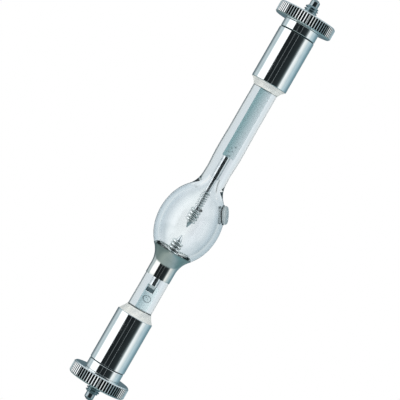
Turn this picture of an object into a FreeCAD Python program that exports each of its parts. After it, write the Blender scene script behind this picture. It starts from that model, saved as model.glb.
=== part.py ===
import FreeCAD, Part
import Sketcher
import os
import re
from enum import IntEnum

# A mercury arc lamp, upright, with its coated end down. The origin is on the lamp's axis, in the outer face
# of the lower nut, and +Z runs towards the upper base. Both ends are measured as depths from the shoulder
# that their nut seats on, positive towards the bulb.

# Driving sizes, in millimetres.
SIZES = {
    # Bases, the same at both ends
    "base_span": 108.0,  # from shoulder to shoulder
    "cement_gap": 0.85,  # between the quartz shaft and the sleeve's bore
    "sleeve_wall": 0.8,
    "sleeve_length": 15.3,
    "collar_step": 0.1,  # how far the plug's collar lies inside the sleeve's outside
    "collar_length": 2.7,
    "collar_bevel": 0.3,  # on the collar's edge at the seam with the sleeve
    "spigot_length": 3.0,  # the plug's part inside the sleeve
    "edge": 0.15,  # broken edges of the turned pieces
    "cement_depth": 9.0,  # inside the sleeve
    "lower_cement_cone": 2.3,
    "upper_cement_cone": 1.9,
    "cement_lip": 0.12,
    # Stud and nut
    "stud_diameter": 4.0,
    "thread_depth": 0.55,
    "free_thread": 2.4,  # beyond the nut
    "dog_diameter": 2.6,
    "dog_length": 1.4,
    "dog_cone": 0.75,
    "dog_tip_diameter": 1.3,
    "nut_diameter": 16.75,
    "nut_height": 3.5,
    "nut_rim": 0.42,  # the smooth bevel at both faces
    "nut_clearance": 0.05,
    "knurl_teeth": 64.0,
    "knurl_depth": 0.36,
    "knurl_groove": 0.5,  # a groove's width at the nut's outside
    # Quartz envelope
    "shaft_diameter": 7.15,
    "shaft_end_depth": 8.0,  # how deep the quartz ends lie inside the bases
    "bulb_diameter": 17.55,
    "bulb_half_height": 11.8,
    "bulb_wall": 1.5,
    "bulb_height": 47.0,  # from the lower shoulder to the bulb's middle
    "lower_neck_fillet": 6.9,
    "upper_neck_fillet": 6.5,
    "lower_neck_step": 0.6,  # how far a neck bore runs on past the chamber's end
    "upper_neck_step": 4.2,
    "funnel_fillet": 6.0,  # where the chamber closes on the upper rod
    "neck_clearance": 0.15,  # between a neck bore and what runs through it
    "pip_diameter": 5.1,
    "pip_proud": 0.9,
    "pip_root": 0.9,
    "pip_rounding": 0.4,
    "pip_rise": 6.5,  # above the bulb's middle
    "pip_turn": 16.5,  # degrees round the lamp's axis from +X
    # Heat coating on the lower neck
    "coating_below_bulb": 17.0,  # from the bulb's middle down to the coating's lower edge
    "coating_length": 8.1,
    "coating_thickness": 0.08,
    # Electrodes
    "arc_below_bulb": 2.55,  # from the bulb's middle down to the middle of the arc gap
    "arc_gap": 2.4,
    "lower_rod_diameter": 1.75,
    "upper_rod_diameter": 1.55,
    "tip_length": 1.6,
    "tip_flat": 0.3,
    "tip_to_winding": 2.0,
    "heavy_wire": 0.86,
    "heavy_pitch": 0.93,
    "lower_heavy_length": 4.2,
    "upper_heavy_length": 3.7,
    "fine_wire": 0.44,
    "fine_pitch": 0.68,
    "fine_length": 4.65,
    "winding_clearance": 0.02,
    "heavy_flats": 8.0,  # round a wire's section
    "fine_flats": 6.0,
    # Seals
    "foil_width": 2.85,
    "foil_thickness": 0.05,
    "foil_bevel": 0.35,  # the foil's feathered edges
    "foil_offset": 0.375,  # how far the foils lie off the axis, sideways
    "lower_foil_depth": 27.5,  # the foil's end towards the bulb
    "lower_foil_length": 16.0,
    "upper_foil_depth": 40.5,
    "upper_foil_length": 22.0,
    "rod_overlap": 3.1,  # of the electrode rod on its foil
    "lead_overlap": 2.0,
    "lead_diameter": 1.5,
    "lead_seat": 2.2,  # the lead's length in the end plug
    "tab_width": 1.65,
    "tab_length": 2.1,
    "tab_thickness": 0.1,
    # Mercury
    "bead_diameter": 1.8,
    "bead_turn": 117.5,  # degrees round the lamp's axis from +X
    "bead_clearance": 0.04,
}

# Radii and levels that follow from the driving sizes.
PLACES = {
    "lower_shoulder": "nut_height",
    "upper_shoulder": "nut_height + base_span",
    "shaft_radius": "shaft_diameter / 2",
    "sleeve_bore": "shaft_radius + cement_gap",
    "sleeve_radius": "sleeve_bore + sleeve_wall",
    "sleeve_end": "collar_length + sleeve_length",
    "collar_radius": "sleeve_radius - collar_step",
    "stud_radius": "stud_diameter / 2",
    "dog_radius": "dog_diameter / 2",
    "thread_end": "nut_height + free_thread",
    "dog_end": "thread_end + dog_length",
    "stud_end": "dog_end + dog_cone",
    "nut_radius": "nut_diameter / 2",
    "nut_bore": "stud_radius + nut_clearance",
    "lead_radius": "lead_diameter / 2",
    "lead_end": "collar_length + spigot_length - lead_seat",
    "lower_foil_end": "lower_foil_depth - lower_foil_length",
    "upper_foil_end": "upper_foil_depth - upper_foil_length",
    "bulb_radius": "bulb_diameter / 2",
    "bulb_middle": "lower_shoulder + bulb_height",
    "chamber_radius": "bulb_radius - bulb_wall",
    "chamber_half": "bulb_half_height - bulb_wall",
    "arc_middle": "bulb_middle - arc_below_bulb",
    "lower_tip": "arc_middle - arc_gap / 2",
    "upper_tip": "arc_middle + arc_gap / 2",
    "lower_rod_radius": "lower_rod_diameter / 2",
    "upper_rod_radius": "upper_rod_diameter / 2",
    "lower_winding_radius": "lower_rod_radius + winding_clearance + heavy_wire",
    "lower_winding_end": "lower_tip - tip_to_winding - lower_heavy_length",
    "fine_winding_start": "upper_tip + tip_to_winding + upper_heavy_length + heavy_wire / 2 + fine_wire / 2",
    "upper_winding_end": "fine_winding_start + fine_length",
    "lower_bore_radius": "lower_winding_radius + neck_clearance",
    "upper_bore_radius": "upper_rod_radius + neck_clearance",
    "lower_bore_end": "min(lower_winding_end - heavy_wire; bulb_middle - chamber_half) - lower_neck_step",
    "upper_bore_end": "bulb_middle + chamber_half + upper_neck_step",
    "pip_radius": "pip_diameter / 2",
    "pip_out": "bulb_radius * sqrt(1 - (pip_rise / bulb_half_height) ^ 2)",
    "pip_up": "bulb_middle + pip_rise",
    "pip_tilt": "atan2(pip_rise / bulb_half_height ^ 2; pip_out / bulb_radius ^ 2) / 1deg - 90",
    "bead_radius": "bead_diameter / 2",
    "bead_out": "lower_winding_radius + bead_radius + bead_clearance",
    "bead_path_radius": "chamber_radius - bead_radius - bead_clearance",
    "bead_path_half": "chamber_half - bead_radius - bead_clearance",
    "bead_up": "bulb_middle - bead_path_half * sqrt(1 - (bead_out / bead_path_radius) ^ 2)",
}

doc = FreeCAD.newDocument("MercuryArcLamp")


def fill_sheet(name, rows, content):
    """Make a spreadsheet with one aliased row for each value."""
    sheet = doc.addObject("Spreadsheet::Sheet", name)
    for row, (alias, entry) in enumerate(rows.items(), start=1):
        sheet.set(f"A{row}", alias)
        sheet.set(f"B{row}", content(entry))
        sheet.setAlias(f"B{row}", alias)
    doc.recompute()
    return sheet


def formula(words):
    """The words of a formula with each value's sheet put before its name."""
    def with_sheet(found):
        word = found.group()
        if word in SIZES:
            return f"Sizes.{word}"
        if word in PLACES:
            return f"Places.{word}"
        return word

    return re.sub(r"[a-z_]+\d?", with_sheet, words)


fill_sheet("Sizes", SIZES, str)
places = fill_sheet("Places", PLACES, lambda words: "=" + formula(words))


def number(words):
    """What a formula comes to with the sheets as they are."""
    found = places.evalExpression(formula(words))
    return float(getattr(found, "Value", found))


def bind(thing, **formulas):
    """Tie properties of an object to formulas. Two underscores stand for a dot in a property's path."""
    for name, words in formulas.items():
        thing.setExpression(name.replace("__", "."), formula(words))


def origin_feature(body, role):
    return next(item for item in body.Origin.OriginFeatures if item.Role == role)


def new_sketch(body, name, plane):
    sketch = body.newObject("Sketcher::SketchObject", name)
    sketch.AttachmentSupport = [(origin_feature(body, plane), "")]
    sketch.MapMode = "FlatFace"
    return sketch


class Axis(IntEnum):
    """A sketch's own axes, as constraints name them."""

    HORIZONTAL = -1
    VERTICAL = -2


class Point(IntEnum):
    """The points of an edge, as constraints name them."""

    START = 1
    END = 2
    CENTRE = 3


def fix_size(sketch, constraint, words):
    """Add a constraint whose value follows a formula."""
    place = sketch.addConstraint(constraint)
    sketch.setExpression(f"Constraints[{place}]", formula(words))


def fix_point(sketch, edge, end, across, up):
    """Hold an edge's end at the place that two formulas give."""
    for words, kind, axis in ((across, "DistanceX", Axis.VERTICAL), (up, "DistanceY", Axis.HORIZONTAL)):
        if words == "0":
            sketch.addConstraint(Sketcher.Constraint("PointOnObject", edge, end, axis))
        else:
            distance = Sketcher.Constraint(kind, Axis.HORIZONTAL, Point.START, edge, end, number(words))
            fix_size(sketch, distance, words)


def join_loop(sketch, edges):
    """Join each edge's end to the next edge's start, round to the first."""
    for edge, following in zip(edges, edges[1:] + edges[:1]):
        sketch.addConstraint(Sketcher.Constraint("Coincident", edge, Point.END, following, Point.START))


def outline(sketch, corners):
    """A closed outline of straight edges, with its corners held by formulas."""
    points = [FreeCAD.Vector(number(across), number(up), 0) for across, up in corners]
    edges = [
        sketch.addGeometry(Part.LineSegment(start, end), False)
        for start, end in zip(points, points[1:] + points[:1])
    ]
    join_loop(sketch, edges)
    for edge, (across, up) in zip(edges, corners):
        fix_point(sketch, edge, Point.START, across, up)


def turned(label, corners):
    """A turned piece: its half section, in (radius, height), revolved about the lamp's axis."""
    body = doc.addObject("PartDesign::Body", label)
    sketch = new_sketch(body, f"{label}_section", "XZ_Plane")
    outline(sketch, corners)
    revolve(body, f"{label}_turning", sketch, (origin_feature(body, "Z_Axis"), [""]))
    return body


def revolve(body, name, sketch, axis):
    turning = body.newObject("PartDesign::Revolution", name)
    turning.Profile = sketch
    turning.ReferenceAxis = axis
    turning.Angle = 360
    doc.recompute()
    return turning


def mirrored(side, depth):
    """The height of a depth that is measured from one end's shoulder towards the bulb."""
    return f"lower_shoulder + ({depth})" if side == "lower" else f"upper_shoulder - ({depth})"


def section(side, corners):
    """Corners given as (radius, depth from the shoulder) as corners in (radius, height)."""
    return [(radius, mirrored(side, depth)) for radius, depth in corners]


def base_sleeve(side):
    return turned(f"{side}_base_sleeve", section(side, [
        ("sleeve_bore", "collar_length"),
        ("sleeve_radius - edge", "collar_length"),
        ("sleeve_radius", "collar_length + edge"),
        ("sleeve_radius", "sleeve_end - edge"),
        ("sleeve_radius - edge", "sleeve_end"),
        ("sleeve_bore", "sleeve_end"),
    ]))


def end_plug(side):
    """The plug that closes a sleeve, with its collar, stud and dog point, turned as one piece."""
    return turned(f"{side}_end_plug", section(side, [
        ("0", "-stud_end"),
        ("dog_tip_diameter / 2", "-stud_end"),
        ("dog_radius", "-dog_end"),
        ("dog_radius", "-thread_end"),
        ("stud_radius - thread_depth", "-thread_end"),
        ("stud_radius", "thread_depth - thread_end"),
        ("stud_radius", "0"),
        ("collar_radius - edge", "0"),
        ("collar_radius", "edge"),
        ("collar_radius", "collar_length - collar_bevel"),
        ("collar_radius - collar_bevel", "collar_length"),
        ("sleeve_bore", "collar_length"),
        ("sleeve_bore", "collar_length + spigot_length"),
        ("lead_radius", "collar_length + spigot_length"),
        ("lead_radius", "lead_end"),
        ("0", "lead_end"),
    ]))


def cement(side):
    """The cement between sleeve and quartz, with the cone that it leaves outside the sleeve."""
    return turned(f"{side}_cement", section(side, [
        ("shaft_radius", "sleeve_end - cement_depth"),
        ("sleeve_bore", "sleeve_end - cement_depth"),
        ("sleeve_bore", "sleeve_end"),
        ("sleeve_radius - edge", "sleeve_end"),
        ("shaft_radius + cement_lip", f"sleeve_end + {side}_cement_cone"),
        ("shaft_radius", f"sleeve_end + {side}_cement_cone"),
    ]))


def knurled_nut(side):
    """A round nut with bevelled faces and straight grooves all round."""
    label = f"{side}_knurled_nut"
    body = turned(label, section(side, [
        ("nut_bore", "-nut_height"),
        ("nut_radius - nut_rim", "-nut_height"),
        ("nut_radius", "nut_rim - nut_height"),
        ("nut_radius", "-nut_rim"),
        ("nut_radius - nut_rim", "0"),
        ("nut_bore", "0"),
    ]))
    sketch = new_sketch(body, f"{label}_groove", "XY_Plane")
    bind(sketch, AttachmentOffset__Base__z=mirrored(side, "-nut_height / 2"))
    slope = "knurl_groove / knurl_depth / 2"
    outline(sketch, [
        ("nut_radius - knurl_depth", "0"),
        ("nut_radius + edge", f"(knurl_depth + edge) * {slope}"),
        ("nut_radius + edge", f"-(knurl_depth + edge) * {slope}"),
    ])
    groove = body.newObject("PartDesign::Pocket", f"{label}_cut")
    groove.Profile = sketch
    groove.Type = "ThroughAll"
    groove.Midplane = True
    doc.recompute()
    knurl = body.newObject("PartDesign::PolarPattern", f"{label}_knurl")
    knurl.Originals = [groove]
    knurl.Axis = (origin_feature(body, "Z_Axis"), [""])
    knurl.Angle = 360
    bind(knurl, Occurrences="knurl_teeth")
    body.Tip = knurl
    doc.recompute()
    return body


def flatten(body, name, low, high):
    """Cut a rod's end away in front of its foil, so that it lies flat on the foil's back."""
    sketch = new_sketch(body, f"{name}_outline", "XZ_Plane")
    bind(sketch, AttachmentOffset__Base__z="-foil_thickness / 2")
    outline(sketch, [
        ("-shaft_radius", low), ("shaft_radius", low), ("shaft_radius", high), ("-shaft_radius", high),
    ])
    flat = body.newObject("PartDesign::Pocket", name)
    flat.Profile = sketch
    flat.Type = "ThroughAll"
    flat.Reversed = True
    doc.recompute()


def in_order(side, first, second):
    """Two depths as heights, the lower one first."""
    heights = [mirrored(side, first), mirrored(side, second)]
    return heights if side == "lower" else heights[::-1]


def outer_lead(side):
    """The lead between a foil and its end plug."""
    label = f"{side}_outer_lead"
    inner_end = f"{side}_foil_end + lead_overlap"
    body = turned(label, section(side, [
        ("0", "lead_end"), ("lead_radius", "lead_end"), ("lead_radius", inner_end), ("0", inner_end),
    ]))
    flatten(body, f"{label}_flat", *in_order(side, f"{side}_foil_end", inner_end))
    return body


def electrode_rod(side):
    """A rod with a conical tip at the arc and its other end flattened on the foil."""
    label = f"{side}_electrode_rod"
    tip, away = ("lower_tip", "-") if side == "lower" else ("upper_tip", "+")
    foot = mirrored(side, f"{side}_foil_depth - rod_overlap")
    body = turned(label, [
        ("0", tip),
        ("tip_flat / 2", tip),
        (f"{side}_rod_radius", f"{tip} {away} tip_length"),
        (f"{side}_rod_radius", foot),
        ("0", foot),
    ])
    flatten(body, f"{label}_flat", *in_order(
        side, f"{side}_foil_depth - rod_overlap", f"{side}_foil_depth"))
    return body


def winding(side, gauge, start, length):
    """A wire wound up an electrode rod. Its section is drawn with a few flats."""
    label = f"{side}_{gauge}_winding"
    body = doc.addObject("PartDesign::Body", label)
    sketch = new_sketch(body, f"{label}_wire", "XZ_Plane")
    wire = f"{gauge}_wire"
    flats = round(number(f"{gauge}_flats"))
    centre = f"{side}_rod_radius + winding_clearance + {wire} / 2"
    angles = [f"{flat + 0.5} * 360deg / {flats}" for flat in range(flats)]
    outline(sketch, [
        (f"{centre} + {wire} / 2 * cos({angle})", f"{start} + {wire} / 2 * sin({angle})") for angle in angles
    ])
    coil = body.newObject("PartDesign::AdditiveHelix", f"{label}_helix")
    coil.Profile = sketch
    coil.ReferenceAxis = (origin_feature(body, "Z_Axis"), [""])
    coil.Mode = "pitch-height-angle"
    bind(coil, Pitch=f"{gauge}_pitch", Height=length)
    doc.recompute()
    return body


def seal_foil(side):
    """A foil with feathered edges, sealed in the shaft."""
    label = f"{side}_seal_foil"
    body = doc.addObject("PartDesign::Body", label)
    sketch = new_sketch(body, f"{label}_section", "XY_Plane")
    bind(sketch, AttachmentOffset__Base__z=in_order(side, f"{side}_foil_end", f"{side}_foil_depth")[0])
    left, right = "foil_offset - foil_width / 2", "foil_offset + foil_width / 2"
    front, back = "-foil_thickness / 2", "foil_thickness / 2"
    outline(sketch, [
        (left, "0"),
        (f"{left} + foil_bevel", front),
        (f"{right} - foil_bevel", front),
        (right, "0"),
        (f"{right} - foil_bevel", back),
        (f"{left} + foil_bevel", back),
    ])
    strip = body.newObject("PartDesign::Pad", f"{label}_strip")
    strip.Profile = sketch
    bind(strip, Length=f"{side}_foil_length")
    doc.recompute()
    return body


def weld_tab():
    """The tab in front of the lower foil's upper end."""
    tab = doc.addObject("Part::Box", "lower_weld_tab")
    bind(
        tab,
        Length="tab_width",
        Width="tab_thickness",
        Height="tab_length",
        Placement__Base__x="-tab_width / 2",
        Placement__Base__y="-foil_thickness / 2 - tab_thickness",
        Placement__Base__z=mirrored("lower", "lower_foil_depth - tab_length"),
    )
    return tab


def oval(label, radius, half, low_radius, low_end, high_radius, high_end):
    """An ellipse turned about the lamp's axis, with a round neck at each end."""
    body = doc.addObject("PartDesign::Body", label)
    sketch = new_sketch(body, f"{label}_section", "XZ_Plane")
    middle = FreeCAD.Vector(0, number("bulb_middle"), 0)
    top = middle + FreeCAD.Vector(0, number(half), 0)
    ellipse = Part.Ellipse(top, middle - FreeCAD.Vector(number(radius), 0, 0), middle)

    def neck_corner(neck_radius, way):
        rise = number(f"({half}) * sqrt(1 - (({neck_radius}) / ({radius})) ^ 2)")
        return middle + FreeCAD.Vector(number(neck_radius), way * rise, 0)

    low_neck, high_neck = neck_corner(low_radius, -1), neck_corner(high_radius, 1)
    bulge = sketch.addGeometry(
        Part.ArcOfEllipse(ellipse, ellipse.parameter(low_neck), ellipse.parameter(high_neck)), False
    )
    sketch.exposeInternalGeometry(bulge)
    height_line, width_line = bulge + 1, bulge + 2
    corners = [
        high_neck,
        FreeCAD.Vector(high_neck.x, number(high_end), 0),
        FreeCAD.Vector(0, number(high_end), 0),
        FreeCAD.Vector(0, number(low_end), 0),
        FreeCAD.Vector(low_neck.x, number(low_end), 0),
        low_neck,
    ]
    edges = [
        sketch.addGeometry(Part.LineSegment(start, end), False)
        for start, end in zip(corners, corners[1:])
    ]
    join_loop(sketch, [bulge] + edges)
    fix_point(sketch, bulge, Point.CENTRE, "0", "bulb_middle")
    for line, half_size in ((height_line, half), (width_line, radius)):
        length = 2 * number(half_size)
        distance = Sketcher.Constraint("Distance", line, Point.START, line, Point.END, length)
        fix_size(sketch, distance, f"2 * ({half_size})")
    sketch.addConstraint(Sketcher.Constraint("Vertical", height_line))
    for edge, across, up in zip(edges[:4], (high_radius, "0", "0", low_radius),
                                (high_end, high_end, low_end, low_end)):
        fix_point(sketch, edge, Point.END, across, up)
    sketch.addConstraint(Sketcher.Constraint("Vertical", edges[0]))
    sketch.addConstraint(Sketcher.Constraint("Vertical", edges[-1]))
    revolve(body, f"{label}_turning", sketch, (origin_feature(body, "Z_Axis"), [""]))
    return body


class Neck(IntEnum):
    """Where an oval's necks come among its round edges of one radius. The first and last are the necks' ends."""

    LOW = 1
    HIGH = -2


def rings(shape, radius):
    """The names of a shape's round edges of one radius, from the lowest to the highest."""
    found = [
        (edge.CenterOfMass.z, f"Edge{place}")
        for place, edge in enumerate(shape.Edges, start=1)
        if edge.Curve.TypeId == "Part::GeomCircle" and abs(edge.Curve.Radius - radius) < 1e-4
    ]
    return [name for _, name in sorted(found)]


def round_edge(body, name, edge, radius):
    """Fillet one edge of a body's last feature."""
    last = body.Tip
    fillet = body.newObject("PartDesign::Fillet", name)
    fillet.Base = (last, [edge])
    bind(fillet, Radius=radius)
    doc.recompute()


def glass_outline(label, skin):
    """The envelope's outside, grown all round by a skin, with its necks faired into the shafts."""
    body = oval(
        label,
        f"bulb_radius + {skin}",
        f"bulb_half_height + {skin}",
        f"shaft_radius + {skin}",
        mirrored("lower", "shaft_end_depth"),
        f"shaft_radius + {skin}",
        mirrored("upper", "shaft_end_depth"),
    )
    shaft = number(f"shaft_radius + {skin}")
    for neck, place in (("upper_neck", Neck.HIGH), ("lower_neck", Neck.LOW)):
        round_edge(body, f"{label}_{neck}", rings(body.Shape, shaft)[place], f"{neck}_fillet - {skin}")
    return body


def add_pip(body):
    """The button of glass left where the exhaust tube was melted off, square to the bulb's side."""
    plane = body.newObject("PartDesign::Plane", "pip_plane")
    plane.AttachmentSupport = [(origin_feature(body, "XZ_Plane"), "")]
    plane.MapMode = "FlatFace"
    plane.AttachmentOffset = FreeCAD.Placement(FreeCAD.Vector(), FreeCAD.Rotation(FreeCAD.Vector(0, 1, 0), 1))
    bind(plane, AttachmentOffset__Rotation__Angle="pip_turn")
    sketch = body.newObject("Sketcher::SketchObject", "pip_section")
    sketch.AttachmentSupport = [(plane, "")]
    sketch.MapMode = "FlatFace"
    bind(
        sketch,
        AttachmentOffset__Base__x="pip_out",
        AttachmentOffset__Base__y="pip_up",
        AttachmentOffset__Rotation__Angle="pip_tilt",
    )
    outline(sketch, [
        ("0", "-pip_root"), ("pip_radius", "-pip_root"), ("pip_radius", "pip_proud"), ("0", "pip_proud"),
    ])
    revolve(body, "pip", sketch, (sketch, ["V_Axis"]))
    rim = max(
        (edge.CenterOfMass.x, f"Edge{place}")
        for place, edge in enumerate(body.Shape.Edges, start=1)
        if edge.Curve.TypeId == "Part::GeomCircle" and abs(edge.Curve.Radius - number("pip_radius")) < 1e-4
    )[1]
    round_edge(body, "pip_rim", rim, "pip_rounding")


def mercury_bead():
    """The bead of mercury, in the bottom of the chamber beside the lower winding."""
    bead = doc.addObject("Part::Sphere", "mercury_bead")
    bind(
        bead,
        Radius="bead_radius",
        Placement__Base__x="bead_out * cos(bead_turn * 1deg)",
        Placement__Base__y="bead_out * sin(bead_turn * 1deg)",
        Placement__Base__z="bead_up",
    )
    return bead


def quartz_envelope(inserts):
    """The blown envelope: its outside, less the chamber and everything that is sealed into it."""
    blank = glass_outline("envelope_blank", "0")
    add_pip(blank)
    chamber = oval(
        "chamber", "chamber_radius", "chamber_half",
        "lower_bore_radius", "lower_bore_end", "upper_bore_radius", "upper_bore_end",
    )
    funnel = rings(chamber.Shape, number("upper_bore_radius"))[Neck.HIGH]
    round_edge(chamber, "chamber_funnel", funnel, "funnel_fillet")
    hollows = doc.addObject("Part::MultiFuse", "hollows")
    hollows.Shapes = [chamber] + inserts
    envelope = doc.addObject("Part::Cut", "quartz_envelope")
    envelope.Base, envelope.Tool = blank, hollows
    return envelope


def heat_coating(envelope):
    """The reflecting film on the outside of the lower neck and the first of its shaft."""
    skin = glass_outline("coating_blank", "coating_thickness")
    band = doc.addObject("Part::Cylinder", "coating_band")
    bind(band, Radius="bulb_diameter", Height="coating_length",
         Placement__Base__z="bulb_middle - coating_below_bulb")
    ring = doc.addObject("Part::Common", "coating_ring")
    ring.Base, ring.Tool = skin, band
    film = doc.addObject("Part::Cut", "heat_coating")
    film.Base, film.Tool = ring, envelope.Base
    return film


SIDES = ("lower", "upper")
rods = {side: electrode_rod(side) for side in SIDES}
foils = {side: seal_foil(side) for side in SIDES}
leads = {side: outer_lead(side) for side in SIDES}
tab = weld_tab()
envelope = quartz_envelope([*rods.values(), *foils.values(), *leads.values(), tab])
pieces = [
    envelope,
    heat_coating(envelope),
    *rods.values(),
    winding("lower", "heavy", "lower_winding_end", "lower_heavy_length"),
    winding("upper", "heavy", "upper_tip + tip_to_winding", "upper_heavy_length"),
    winding("upper", "fine", "fine_winding_start", "fine_length"),
    *foils.values(),
    tab,
    *leads.values(),
    mercury_bead(),
    *(make(side) for make in (base_sleeve, end_plug, knurled_nut, cement) for side in SIDES),
]
doc.recompute()

for thing in doc.Objects:
    if "Invalid" in thing.State or "Error" in thing.State:
        raise RuntimeError(f"{thing.Label} did not build: {thing.State}")
for piece in pieces:
    if piece.Shape.isNull() or not piece.Shape.isValid():
        raise RuntimeError(f"{piece.Label} has no sound shape")

os.makedirs("parts", exist_ok=True)
for piece in pieces:
    piece.Shape.exportStep(f"parts/{piece.Label}.step")
    box = piece.Shape.BoundBox
    print(f"{piece.Label}: {piece.Shape.Volume:.2f} mm3, z {box.ZMin:.2f} to {box.ZMax:.2f}")
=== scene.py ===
"""Looks of a mercury arc lamp: its quartz, metals and cement, and the studio round it.

Sizes are in millimetres unless a name says otherwise, with the origin in the lower nut's outer face and +Z up
the lamp's axis, as in the CAD model.
"""
from __future__ import annotations

import logging
import math
from collections.abc import Callable, Iterable, Mapping, Sequence
from dataclasses import dataclass
from enum import Enum
from functools import cache
from typing import Any

import bmesh
import bpy
from mathutils import Matrix, Quaternion, Vector, noise

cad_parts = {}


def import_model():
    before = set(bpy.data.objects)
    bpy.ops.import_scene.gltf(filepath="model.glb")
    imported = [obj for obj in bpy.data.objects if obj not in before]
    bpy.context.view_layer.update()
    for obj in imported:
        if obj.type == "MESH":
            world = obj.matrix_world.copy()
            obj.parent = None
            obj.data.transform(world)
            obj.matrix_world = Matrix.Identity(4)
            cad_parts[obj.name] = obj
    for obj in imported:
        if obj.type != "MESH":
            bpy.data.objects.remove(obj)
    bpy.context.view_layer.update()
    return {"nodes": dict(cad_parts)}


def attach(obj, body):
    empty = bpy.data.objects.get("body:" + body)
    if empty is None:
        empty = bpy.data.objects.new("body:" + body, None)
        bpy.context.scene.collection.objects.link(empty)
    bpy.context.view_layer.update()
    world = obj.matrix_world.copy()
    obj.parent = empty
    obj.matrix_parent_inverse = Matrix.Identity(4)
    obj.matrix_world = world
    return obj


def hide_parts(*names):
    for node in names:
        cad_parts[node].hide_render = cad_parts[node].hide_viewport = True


log = logging.getLogger("arc lamp")

MM = 0.001
LOWER_SHOULDER, UPPER_SHOULDER = 3.5, 111.5  # the heights that the nuts seat at
MIDDLE = (LOWER_SHOULDER + UPPER_SHOULDER) / 2
SEAMS = (6.2, 108.8)  # the joints between end plugs and sleeves
BULB_RADIUS, BULB_HALF_HEIGHT, BULB_MIDDLE = 8.775, 11.8, 50.5
SHAFT_RADIUS = 3.575
FILM_LOW, FILM_HIGH = 33.5, 41.6  # the reflecting film's edges

Colour = tuple[float, float, float]
Corner = tuple[float, float]  # a radius and a height
Stops = tuple[tuple[float, Colour], ...]  # angles in degrees, with the colour at each
Socket = bpy.types.NodeSocket
Piece = bpy.types.Object

WHITE: Colour = (1.0, 1.0, 1.0)


def seen(red: float, green: float, blue: float) -> Colour:
    """A colour as it looks on a screen, from 0 to 1, turned into the linear light that nodes work in."""
    parts = (red, green, blue)
    return tuple(part / 12.92 if part <= 0.04045 else ((part + 0.055) / 1.055) ** 2.4 for part in parts)


def stops(*rows: tuple[Any, ...]) -> Stops:
    """Stops from rows that hold an angle and a colour, or an angle and the three numbers that seen takes."""
    return tuple((angle, tone[0] if len(tone) == 1 else seen(*tone)) for angle, *tone in rows)


class Side(Enum):
    """The lamp's two ends, which have the same base."""

    LOWER = "lower"
    UPPER = "upper"

    @property
    def shoulder(self) -> float:
        """The height of the shoulder that this end's nut seats on."""
        return LOWER_SHOULDER if self is Side.LOWER else UPPER_SHOULDER

    @property
    def inward(self) -> int:
        """1 where the bulb lies above this end, and -1 where it lies below."""
        return 1 if self is Side.LOWER else -1

    def height(self, depth: float) -> float:
        """The height of a depth that is measured from the shoulder towards the bulb."""
        return self.shoulder + self.inward * depth


# ---- Nodes written as expressions ----


def operator(operation: str, swapped: bool = False) -> Callable[[Signal, Signal | float], Signal]:
    """A method that makes one of Python's operators stand for a Math node.

    Args:
        operation: what the node does.
        swapped: whether the other number comes first.

    Returns:
        The method.
    """

    def method(self: Signal, other: Signal | float) -> Signal:
        """The Math node's result."""
        return self.recipe.math(operation, *((other, self) if swapped else (self, other)))

    return method


class Signal:
    """A number that comes out of a node, with Python's operators standing for Math nodes."""

    __add__ = operator("ADD")
    __sub__ = operator("SUBTRACT")
    __rsub__ = operator("SUBTRACT", swapped=True)
    __mul__ = operator("MULTIPLY")
    __truediv__ = operator("DIVIDE")
    __pow__ = operator("POWER")

    def __init__(self, recipe: Recipe, socket: Socket) -> None:
        """Wrap an output socket of the recipe's tree."""
        self.recipe = recipe
        self.socket = socket

    def __neg__(self) -> Signal:
        """This number with its sign turned."""
        return self * -1.0

    def __abs__(self) -> Signal:
        """This number without its sign."""
        return self.recipe.math("ABSOLUTE", self)

    def rise_mm(self, low: float, high: float) -> Signal:
        """A soft step like rise's, for a length in metres, with its ends in millimetres."""
        return self.rise(low * MM, high * MM)

    def rise(self, low: float, high: float) -> Signal:
        """A soft step from 0 to 1 as this number goes from low to high.

        Args:
            low: where the step starts.
            high: where the step ends.

        Returns:
            A number from 0 to 1.
        """
        ends = {"Value": self, "From Min": low, "From Max": high}
        ramp = self.recipe.node("ShaderNodeMapRange", {"interpolation_type": "SMOOTHSTEP"}, ends)
        return Signal(self.recipe, ramp.outputs["Result"])


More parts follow.
